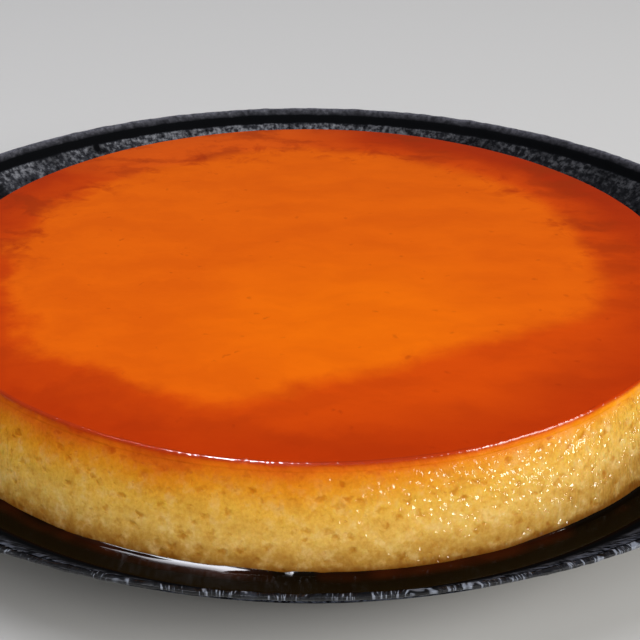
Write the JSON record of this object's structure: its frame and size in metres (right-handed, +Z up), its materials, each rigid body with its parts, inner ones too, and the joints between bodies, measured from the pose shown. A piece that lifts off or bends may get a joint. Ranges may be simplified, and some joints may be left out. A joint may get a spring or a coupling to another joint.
{
  "type": "flan",
  "caption": "Round baked caramel flan with a glossy amber top and a pitted yellow side, sitting in dark caramel sauce in the shallow black stoneware dish that holds it.",
  "frame": {"origin": "centre of the dish's foot ring, on the surface it stands on", "axes": "+Z up along the axis that dish and flan are turned about, -Y towards the viewer, +X to the viewer's right"},
  "size_m": [0.3, 0.3, 0.0342],
  "materials": {
    "stoneware": "satin",
    "custard": "satin",
    "caramel_top": "gloss",
    "caramel_sauce": "gloss"
  },
  "bodies": {
    "root": {"dish": "stoneware", "custard": "custard", "caramel_top": "caramel_top", "caramel_sauce": "caramel_sauce"}
  },
  "joints": []
}
